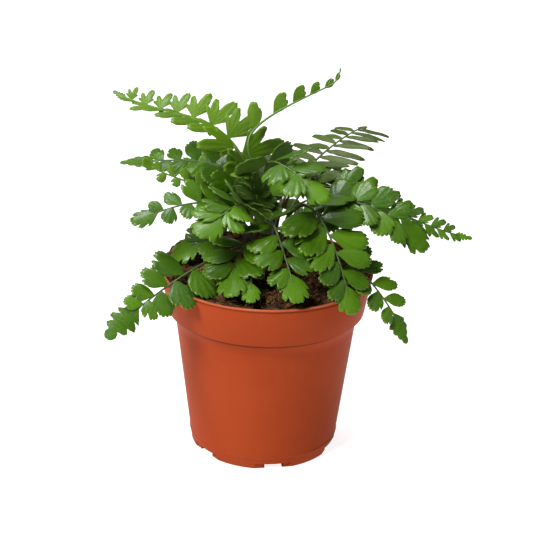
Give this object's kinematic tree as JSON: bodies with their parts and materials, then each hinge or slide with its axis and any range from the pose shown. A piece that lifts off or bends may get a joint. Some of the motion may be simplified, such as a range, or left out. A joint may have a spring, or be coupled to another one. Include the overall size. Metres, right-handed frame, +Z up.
{
  "type": "potted fern",
  "caption": "Young fern with arching pinnate fronds growing from one crown in a tapered plastic nursery pot filled with potting mix.",
  "frame": {"origin": "middle of the pot's flat underside", "axes": "+Z up along the pot's axis, -Y towards the front of the plant, +X to the right when seen from the front"},
  "size_m": [0.1833, 0.1451, 0.1839],
  "materials": {
    "pot_plastic": "satin moulded terracotta-coloured plastic",
    "potting_mix": "loose peat and coir, matt, fibrous",
    "crown": "brown scales, matt",
    "mature_frond": "glossy leathery green leaf",
    "young_frond": "bright soft green leaf"
  },
  "bodies": {
    "root": {"pot": "pot_plastic", "potting_mix": "potting_mix", "crown": "crown", "frond_upper_left": "young_frond", "frond_crozier": "young_frond", "frond_back_right": "mature_frond", "frond_back_right_low": "mature_frond", "frond_centre_right": "mature_frond", "frond_far_right": "mature_frond", "frond_right": "mature_frond", "frond_front_right": "mature_frond", "frond_right_low": "mature_frond", "frond_front": "mature_frond", "frond_front_left": "mature_frond", "frond_left_low": "mature_frond", "frond_left_mid": "mature_frond", "frond_centre_left": "mature_frond", "frond_left_upper": "mature_frond", "frond_left_young": "young_frond", "frond_left_inner": "mature_frond", "frond_seedling": "mature_frond", "frond_left_back": "mature_frond", "frond_centre_top": "mature_frond", "frond_back_right_inner": "mature_frond", "frond_back": "mature_frond", "frond_back_left": "mature_frond", "frond_inner_right": "mature_frond"}
  },
  "joints": []
}
